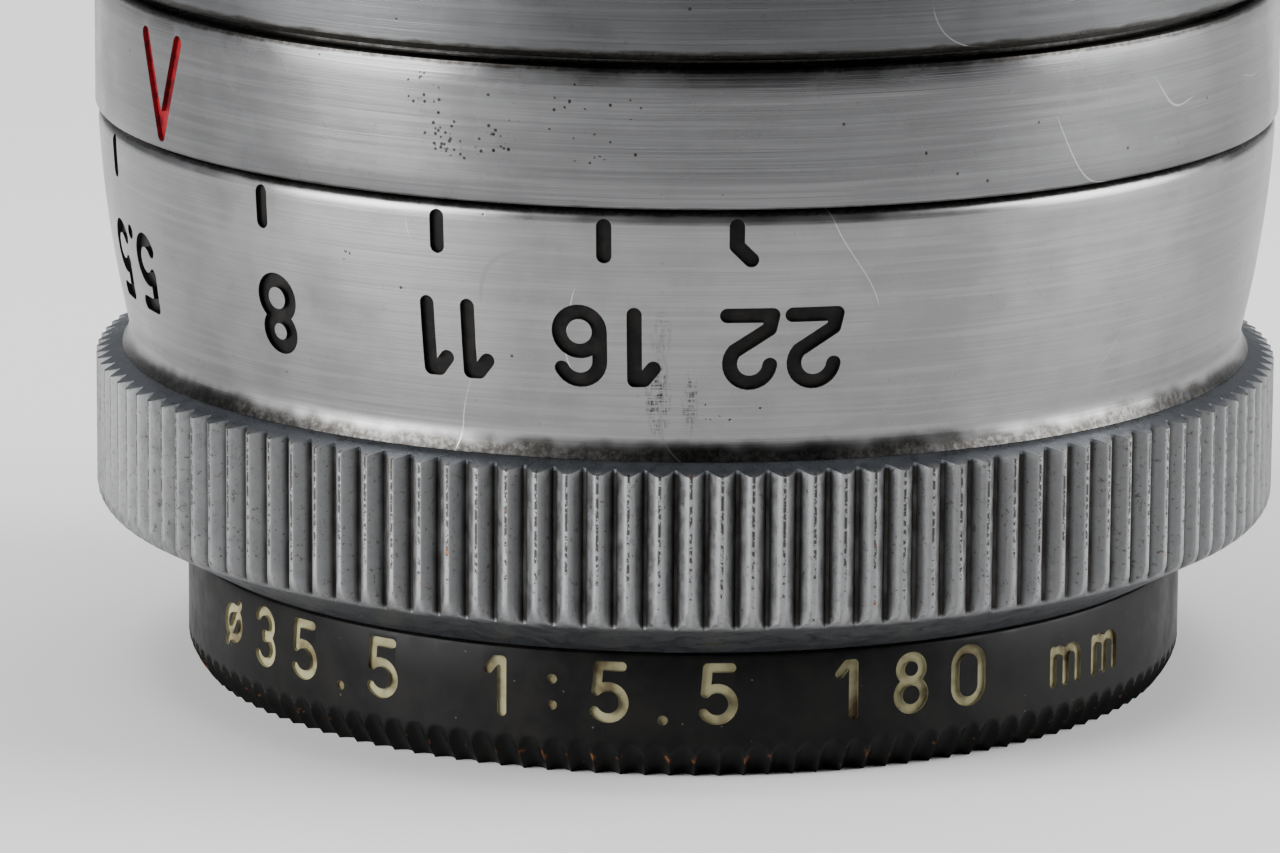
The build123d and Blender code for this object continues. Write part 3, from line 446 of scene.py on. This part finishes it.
def stroke_sections(points, width):
    """Left and right points along a line, with round ends."""
    sections = []
    half = width / 2
    cap_steps = 5
    last = len(points) - 1
    closed = sqrt((points[0][0] - points[last][0]) ** 2 + (points[0][1] - points[last][1]) ** 2) < 1e-6
    for index, (x, y) in enumerate(points):
        before = points[index - 1] if index else (points[last - 1] if closed else points[0])
        after = points[index + 1] if index < last else (points[1] if closed else points[last])
        dx, dy = after[0] - before[0], after[1] - before[1]
        length = sqrt(dx * dx + dy * dy)
        dx, dy = dx / length, dy / length
        if not closed and index in (0, last):
            side = -1 if index == 0 else 1
            cap = []
            for step in range(cap_steps):
                angle = radians(90 * (1 - (step + 0.35) / cap_steps))
                reach, spread = half * sin(angle), half * cos(angle)
                cap.append(((x + side * reach * dx - spread * dy, y + side * reach * dy + spread * dx),
                            (x + side * reach * dx + spread * dy, y + side * reach * dy - spread * dx)))
            if index == 0:
                sections += cap + [((x - half * dy, y + half * dx), (x + half * dy, y - half * dx))]
            else:
                sections += [((x - half * dy, y + half * dx), (x + half * dy, y - half * dx))] + cap[::-1]
        else:
            sections.append(((x - half * dy, y + half * dx), (x + half * dy, y - half * dx)))
    return sections, closed


class Marks:
    """Collects engraved strokes on one ring, as a cutting tool that follows the ring's surface."""

    def __init__(self, surface, depth):
        self.surface = surface
        self.depth = depth
        self.vertices = []
        self.faces = []
        self.strokes = 0

    def add(self, strokes, angle, height, size=1.0, width=0.5, flipped=False):
        """Strokes at an angle from -Y; upright towards the rear unless flipped."""
        side = -1 if flipped else 1
        base_radius = self.surface(height)
        for stroke in strokes:
            sections, closed = stroke_sections(stroke_line(stroke, size), width)
            self.strokes += 1
            start = len(self.vertices)
            # Each stroke goes a little deeper than the last, so that no two floors lie in one plane.
            sink = self.depth + 0.002 * (self.strokes % 7)
            for left, right in sections:
                for x, y in (left, right):
                    turn = radians(angle) + side * x / base_radius
                    z = height + side * y
                    for radius in (self.surface(z) + 0.3, self.surface(z) - sink):
                        self.vertices.append((radius * sin(turn) * MM, -radius * cos(turn) * MM, z * MM))
            count = len(sections)
            for index in range(count if closed else count - 1):
                a = start + 4 * index
                b = start + 4 * ((index + 1) % count)
                self.faces += [(a, a + 2, b + 2, b), (a + 1, b + 1, b + 3, a + 3), (a, b, b + 1, a + 1),
                               (a + 2, a + 3, b + 3, b + 2)]
            if not closed:
                a, b = start, start + 4 * (count - 1)
                self.faces += [(a, a + 1, a + 3, a + 2), (b, b + 2, b + 3, b + 1)]

    def cut(self, piece, metal, filling):
        """Cut the marks into a piece; their floors and walls take the filling."""
        tool = mesh_object("marking_tool", self.vertices, self.faces)
        work = bmesh.new()
        work.from_mesh(tool.data)
        bmesh.ops.remove_doubles(work, verts=work.verts, dist=1e-9)
        bmesh.ops.recalc_face_normals(work, faces=work.faces)
        work.to_mesh(tool.data)
        work.free()
        tool.data.materials.append(filling)
        piece.data.materials.append(metal)
        cutter = piece.modifiers.new("marks", "BOOLEAN")
        cutter.operation = "DIFFERENCE"
        cutter.solver = "EXACT"
        cutter.use_self = True
        cutter.material_mode = "TRANSFER"
        cutter.object = tool
        bpy.context.view_layer.update()
        evaluated = piece.evaluated_get(bpy.context.evaluated_depsgraph_get())
        finished = bpy.data.meshes.new_from_object(evaluated)
        piece.modifiers.clear()
        piece.data = finished
        bpy.data.objects.remove(tool)
        tidy_normals(piece)


# ---------------------------------------------------------------- materials
# All these parts are one aluminium; the tone given to each is painted light and shade: the index ring is
# painted darker than the aperture ring, and the lens tube darker still.
metal_body = aluminium(
    "aperture_ring_metal", (0.212, 0.212, 0.214), 0.30,
    # Painted shade with grime in the crease above the knurled collar, and painted shade at the seam to the
    # index ring.
    shade_and_grime_bands=((13.0, 13.55, 0.55, 0.93), (23.0, 23.2, 0.08, 0.8)),
    patches=((-33, 20.5, 0.6, 0.4, 0.35), (4.0, 15.2, 1.5, 0.5, 0.25)),
    rubs=((-2.5, 15.75, 0.45, 1.4, 0.95), (0.55, 15.6, 0.3, 1.2, 0.75), (-2.2, 18.3, 0.4, 0.9, 0.35)),
)
metal_index = aluminium(
    "index_ring_metal", (0.138, 0.138, 0.141), 0.28,
    # Painted shade at the seams to the lens tube and to the aperture ring.
    shade_and_grime_bands=((28.55, 29.2, 0.12, 0.9), (23.0, 23.3, 0.08, 0.8)),
    patches=((-20.5, 25.6, 1.9, 0.7, 1.0), (-24.5, 27.3, 0.7, 0.9, 0.9), (-13, 26.4, 4.5, 1.6, 0.12)),
    pits=0.4, streak=1.3,
)
metal_tube = aluminium("lens_tube_metal", (0.086, 0.087, 0.089), 0.30,
                       # Painted shade with grime at the seam to the index ring, and a darker band higher up
                       # the tube.
                       shade_and_grime_bands=((28.6, 29.25, 0.15, 0.95), (49.5, 50.6, 0.5, 0.5)), pits=0.35, streak=1.2)
metal_focus = aluminium("focus_ring_metal", (0.20, 0.20, 0.202), 0.32,
                        shade_and_grime_bands=((73.9, 74.7, 0.3, 0.85), (54.2, 54.9, 0.3, 0.85),
                                     (91.7, 92.2, 0.1, 0.8)))
metal_mount = aluminium("mount_barrel_metal", (0.20, 0.20, 0.202), 0.32,
                        shade_and_grime_bands=((91.9, 92.3, 0.1, 0.8), (99.6, 100.3, 0.3, 0.6)))
KNURL_COUNT = 126
KNURL_PHASE = 0.67
GRIP_COUNT = 150
GRIP_FRONT, GRIP_REAR = 54.8, 73.2
# The knurl tone is the same aluminium painted darker, as painted shade.
KNURL_TONE = (0.178, 0.180, 0.183)
metal_knurl = knurled_aluminium("collar_knurl_metal", KNURL_COUNT, KNURL_PHASE, (6.9, 12.95), KNURL_TONE,
                                faces=(6.85, 13.0))
metal_grip = knurled_aluminium("focus_grip_metal", GRIP_COUNT, 0.0, (GRIP_FRONT, GRIP_REAR), KNURL_TONE)
ring_black = black_paint("front_ring_paint", worn_edge=0.85)
flat_black = black_paint("inner_flat_black")
scale_black = paint("scale_black_paint", (0.002, 0.002, 0.002), (0.008, 0.007, 0.006))
pointer_red = paint("pointer_red_paint", (0.165, 0.006, 0.010), (0.06, 0.004, 0.006))
name_cream = paint("name_cream_paint", (0.235, 0.22, 0.125), (0.05, 0.034, 0.014), 260.0)
brass = turned_metal("greased_brass", (0.56, 0.40, 0.18), 0.28)
steel = turned_metal("dull_steel", (0.36, 0.36, 0.37), 0.35)
blade_steel = turned_metal("blued_blade_steel", (0.10, 0.105, 0.13), 0.42)
chrome = turned_metal("satin_chrome", (0.38, 0.38, 0.39), 0.27)
front_glass = optical_glass("coated_glass", (0.90, 0.93, 1.0))

NODE_METALS = {
    "aperture_coupling_screw": steel,
    "index_ring_screws": steel,
    "guide_key_screws": steel,
    "focus_keeper_screws": steel,
    "focus_stop_pin": steel,
    "mount_screws": steel,
    "lens_helicoid": brass,
    "guide_keys": brass,
    "guide_sleeve": brass,
    "iris_drive_ring": brass,
    "mount_thread_ring": chrome,
    "lens_tube": metal_tube,
    "mount_barrel": metal_mount,
    "focus_ring": metal_focus,
    "front_crown_element": front_glass,
    "front_flint_element": front_glass,
    "rear_negative_element": front_glass,
    "rear_positive_element": front_glass,
}
for name, cad_piece in nodes.items():
    metal = blade_steel if name.startswith("iris_blade") else NODE_METALS.get(name, flat_black)
    cad_piece.data.materials.clear()
    cad_piece.data.materials.append(metal)


def share_out(node, material, low, high, inner, outer):
    """Give a CAD node's faces between two heights and two radii (mm) another material."""
    piece = nodes[node]
    piece.data.materials.append(material)
    index = len(piece.data.materials) - 1
    for polygon in piece.data.polygons:
        middle = piece.matrix_world @ polygon.center
        radius = sqrt(middle.x**2 + middle.y**2) / MM
        if low < middle.z / MM < high and inner < radius < outer:
            polygon.material_index = index


SCALE_R = 28.6
share_out("focus_ring", metal_grip, GRIP_FRONT, GRIP_REAR, SCALE_R, SCALE_R + 1.5)
share_out("focus_ring", scale_black, 80.0, 90.5, SCALE_R - 0.4, SCALE_R - 0.03)
share_out("mount_barrel", scale_black, 92.3, 97.0, SCALE_R - 0.4, SCALE_R - 0.03)

# ---------------------------------------------------------------- aperture ring
JOURNAL = 21.45
COLLAR_CREST = cad_radius("aperture_ring")
KNURL_DEPTH = 0.58
RING_FRONT, RING_REAR = cad_heights("aperture_ring")
BODY_START = (22.65, 14.25)
BODY_MIDDLE = (23.36, 18.0)
BODY_END = (23.81, 22.4)


def groove_radius(angle, count, crest, depth, phase, crest_share=0.22):
    """Radius of straight knurling at an angle: narrow ridges between V grooves."""
    across = abs(((angle - phase) / 360 * count + 0.5) % 1.0 - 0.5) * 2
    if across < crest_share:
        return crest - 0.02 * (across / crest_share) ** 2
    share = (across - crest_share) / (1 - crest_share)
    return crest - 0.02 - (depth - 0.02) * min(share * 1.02, 1.0)


def collar_shape(angle, radius, height):
    """Cut the knurling into the collar; the end faces follow their own slopes."""
    limit = groove_radius(angle, KNURL_COUNT, COLLAR_CREST, KNURL_DEPTH, KNURL_PHASE)
    if radius <= limit:
        return radius, height
    if height > 12.6:
        return limit, min(height, 12.9) + (COLLAR_CREST - limit) / 3.0
    if height < 7.2:
        bevel = RING_FRONT + (limit - 20.3) * 0.536 + max(limit - 23.6, 0) * 0.8
        return limit, min(height, bevel)
    return limit, height


collar_profile = [
    (JOURNAL, RING_FRONT + 0.8), (19.6, RING_FRONT + 0.8), (19.6, RING_FRONT + 0.04), (19.7, RING_FRONT),
    (20.2, RING_FRONT), (20.35, RING_FRONT + 0.03), (21.4, 5.69), (22.5, 6.28), (23.3, 6.71), (23.55, 6.84),
    (23.68, 6.93), (23.82, 7.08), (23.95, 7.32), (COLLAR_CREST, 7.6), (COLLAR_CREST, 9.0),
    (COLLAR_CREST, 10.5), (COLLAR_CREST, 12.0), (COLLAR_CREST, 12.7), (COLLAR_CREST, 12.9), (23.6, 13.03),
    (23.35, 13.12), (22.95, 13.25), (22.6, 13.3), (JOURNAL, 13.3),
]
collar = lathe("aperture_ring_collar", collar_profile, KNURL_COUNT * 10, collar_shape)
dress(collar, "aperture", "satin_aluminium", "aperture_ring", metal_knurl)

body_curve = three_point_arc(BODY_START, BODY_MIDDLE, BODY_END, 24)
body_profile = (
    [(JOURNAL, 13.31), (22.6, 13.31), (22.93, 13.27)]
    + three_point_arc((22.93, 13.28), (22.7, 13.75), BODY_START, 6)[1:-1]
    + body_curve
    + [(23.815, 22.6), (23.80, 22.8), (23.74, 22.93), (23.64, 23.05), (23.5, 23.15), (23.35, RING_REAR),
       (JOURNAL, RING_REAR)]
)


def body_surface(height):
    """Radius of the numbered part of the aperture ring at a height."""
    for (low_r, low_z), (high_r, high_z) in zip(body_curve, body_curve[1:]):
        if height <= high_z:
            return low_r + (high_r - low_r) * (height - low_z) / (high_z - low_z)
    return BODY_END[0]


APERTURE_SCALE = [
    (-72.8, [("5", -73.6), (".", -69.9), ("5", -66.0)]),
    (-43.55, [("8", -42.45)]),
    (-23.5, [("1", -24.3), ("1", -20.2)]),
    (-7.5, [("6", -9.9), ("1", -4.2)]),
    (4.7, [("2", 6.1), ("2", 12.2)]),
]
NUMERAL_FOOT = 19.1
NUMERAL_SIZE = 2.7
SCALE_STROKE = 0.58

ring_body = lathe("aperture_ring_body", body_profile, 720)
scale_marks = Marks(body_surface, 0.2)
for tick_angle, characters in APERTURE_SCALE:
    tick = [(0, -3.45, 0, -2.3)]
    if tick_angle > 0:
        # The last tick was cut in two strokes and has a crook.
        tick = [(0, -3.5, 0, -2.75), (0, -2.75, -0.55, -2.2)]
    scale_marks.add(tick, tick_angle, NUMERAL_FOOT, 1.0, SCALE_STROKE, flipped=True)
    for character, angle in characters:
        scale_marks.add(CHARACTERS[character], angle, NUMERAL_FOOT, NUMERAL_SIZE, SCALE_STROKE, flipped=True)
scale_marks.cut(ring_body, metal_body, scale_black)
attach(ring_body, "aperture")
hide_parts("aperture_ring")

# ---------------------------------------------------------------- index ring
INDEX_R = cad_radius("index_ring")
INDEX_ANGLE = -59.1
index_front, index_rear = cad_heights("index_ring")
index_profile = [
    (21.42, index_front), (INDEX_R - 0.16, index_front), (INDEX_R - 0.05, index_front + 0.04),
    (INDEX_R, index_front + 0.14), (INDEX_R, 24.5), (INDEX_R, 26.0), (INDEX_R, 27.5), (INDEX_R, 28.5),
    (INDEX_R - 0.04, 28.62), (INDEX_R - 0.14, 28.71), (INDEX_R - 0.3, 28.75), (23.2, 28.75),
    (23.2, index_rear), (21.42, index_rear),
]
index_piece = lathe("index_ring_piece", index_profile, 720)
pointer = Marks(lambda height: INDEX_R, 0.2)
pointer.add([(0, 0, 1.337, 3.8), (-1.337, 3.8, 0, 0)], INDEX_ANGLE, 23.85, 1.0, 0.6)
pointer.cut(index_piece, metal_index, pointer_red)
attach(index_piece, "lens_unit")
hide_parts("index_ring")

# ---------------------------------------------------------------- threads
def thread_cut(angle, height, pitch, depth):
    """How deep a V thread is cut at an angle and a height in mm."""
    turns = height / pitch - angle / 360
    return depth * (1 - 2 * abs(turns % 1.0 - 0.5))


def thread_rows(radius, low, high, pitch, rows_a_pitch=6):
    """Profile points close enough to carry a thread."""
    count = int((high - low) / pitch * rows_a_pitch)
    return [(radius, low + (high - low) * row / count) for row in range(count + 1)]


# ---------------------------------------------------------------- front name ring
NAME_R = cad_radius("front_name_ring")
FLUTE_COUNT = 128
FLUTE_R = 0.44
FLUTE_TOP = 1.5
FLUTE_FOOT_R = 19.25
FILTER_R = 17.75
FILTER_PITCH = 0.5
FILTER_FRONT, FILTER_REAR = 0.35, 2.9
name_front, name_rear = cad_heights("front_name_ring")


def flute_shape(angle, radius, height):
    """Scallop the lower edge with a round tool that leans outwards, and cut the filter thread."""
    if radius == FILTER_R and FILTER_FRONT < height < FILTER_REAR:
        return radius + thread_cut(angle, height, FILTER_PITCH, 0.28), height
    if radius < 18.9 or height > 1.9:
        return radius, height
    pitch = 2 * pi * 20.0 / FLUTE_COUNT
    across = abs((angle / 360 * FLUTE_COUNT + 0.5) % 1.0 - 0.5) * pitch
    floor = FLUTE_FOOT_R + (NAME_R - FLUTE_FOOT_R) * height / FLUTE_TOP
    if across >= FLUTE_R:
        return radius, height
    wall = floor + FLUTE_R - sqrt(FLUTE_R**2 - across**2)
    return min(radius, wall), height


edge_rows = [(NAME_R - 0.68 * (1 - step / 12) ** 1.6, 1.25 * step / 12) for step in range(13)]
upper_rows = [(NAME_R, 1.25 + 0.08 * step) for step in range(1, 9)]
name_profile = (
    thread_rows(FILTER_R, 0.25, 3.0, FILTER_PITCH)[::-1]
    + [(FILTER_R + 0.2, 0.0), (18.9, 0.0)]
    + edge_rows + upper_rows
    + [(NAME_R, 2.2), (NAME_R, 3.4), (NAME_R, 4.85), (NAME_R - 0.05, 4.97), (NAME_R - 0.15, 5.04),
       (19.5, 5.05), (19.5, name_rear), (18.3, name_rear), (18.3, 3.0)]
)
name_ring = lathe("front_name_ring_piece", name_profile, FLUTE_COUNT * 8, flute_shape)
NAME_TEXT = ["diameter", *"35.5", None, *"1:5.5", None, *"180", None, *"mm"]
NARROW = {".": 0.62, ":": 0.7}
NAME_STEP = 7.4
name_marks = Marks(lambda height: NAME_R, 0.12)
text_angle = -66.0
for character in NAME_TEXT:
    advance = NAME_STEP * NARROW.get(character, 1.0)
    text_angle += advance / 2
    if character:
        name_marks.add(CHARACTERS[character], text_angle, 2.4, 2.1, 0.38)
    text_angle += advance / 2
name_marks.cut(name_ring, ring_black, name_cream)
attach(name_ring, "lens_unit")
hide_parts("front_name_ring")

# ---------------------------------------------------------------- floor, light and camera
floor_material = Shader("table_white")
floor_cloud = floor_material.noise(14.0, 2.0)
floor_patches = floor_material.ramp(floor_cloud, 0.3, 0.7)
floor_material.finish(floor_material.mix(floor_patches, (0.70, 0.70, 0.70), (0.73, 0.73, 0.73)), 0.55, 0.0)
bpy.ops.mesh.primitive_plane_add(size=4.0)
floor = bpy.context.object
floor.name = "table"
floor.data.materials.append(floor_material.material)


def soft_light(name, place, target, size, power, tint=(1, 1, 1)):
    """A rectangular soft light aimed at a point, all in metres and watts."""
    data = bpy.data.lights.new(name, "AREA")
    data.shape = "RECTANGLE"
    data.size, data.size_y = size
    data.energy = power
    data.color = tint
    lamp = bpy.data.objects.new(name, data)
    bpy.context.scene.collection.objects.link(lamp)
    lamp.location = place
    lamp.rotation_euler = (Vector(target) - Vector(place)).to_track_quat("-Z", "Y").to_euler()


soft_light("left_window", (-0.50, -0.27, 0.22), (0, 0, 0.02), (0.34, 0.42), 9.0)
soft_light("right_window", (0.56, -0.02, 0.24), (0, 0, 0.02), (0.42, 0.42), 7.8)
soft_light("overhead", (0.0, 0.12, 0.8), (0, 0, 0), (0.7, 0.7), 7.5)

world = bpy.data.worlds.new("studio")
world.use_nodes = True
sky = world.node_tree
direction = sky.nodes.new("ShaderNodeTexCoord")
split = sky.nodes.new("ShaderNodeSeparateXYZ")
sky.links.new(direction.outputs["Generated"], split.inputs[0])
depth_ramp = sky.nodes.new("ShaderNodeValToRGB")
depth_ramp.color_ramp.elements[0].position = 0.15
depth_ramp.color_ramp.elements[0].color = (0.05, 0.052, 0.056, 1)
depth_ramp.color_ramp.elements[1].position = 0.75
depth_ramp.color_ramp.elements[1].color = (0.55, 0.56, 0.58, 1)
shifted = sky.nodes.new("ShaderNodeMath")
shifted.operation = "MULTIPLY_ADD"
shifted.inputs[1].default_value = 0.5
shifted.inputs[2].default_value = 0.5
sky.links.new(split.outputs["Y"], shifted.inputs[0])
sky.links.new(shifted.outputs[0], depth_ramp.inputs[0])
sky.links.new(depth_ramp.outputs[0], sky.nodes["Background"].inputs[0])
sky.nodes["Background"].inputs[1].default_value = 0.5
bpy.context.scene.world = world

CAMERA_PLACE = (0.0, -0.33093, 0.08398)
CAMERA_PITCH = radians(12.684)
CAMERA_YAW = -0.0054825
CAMERA_ROLL = 0.0063811
level = Vector((sin(CAMERA_YAW), cos(CAMERA_YAW), 0))
forward = level * cos(CAMERA_PITCH) - Vector((0, 0, sin(CAMERA_PITCH)))
level_right = Vector((cos(CAMERA_YAW), -sin(CAMERA_YAW), 0))
level_up = level_right.cross(forward)
right = level_right * cos(CAMERA_ROLL) + level_up * sin(CAMERA_ROLL)
up = -level_right * sin(CAMERA_ROLL) + level_up * cos(CAMERA_ROLL)
camera_data = bpy.data.cameras.new("camera")
camera_data.sensor_width = 36.0
camera_data.lens = 233.02
camera_data.clip_start = 0.01
camera = bpy.data.objects.new("camera", camera_data)
bpy.context.scene.collection.objects.link(camera)
camera.matrix_world = Matrix.Translation(CAMERA_PLACE) @ Matrix((right, up, -forward)).transposed().to_4x4()
bpy.context.scene.camera = camera
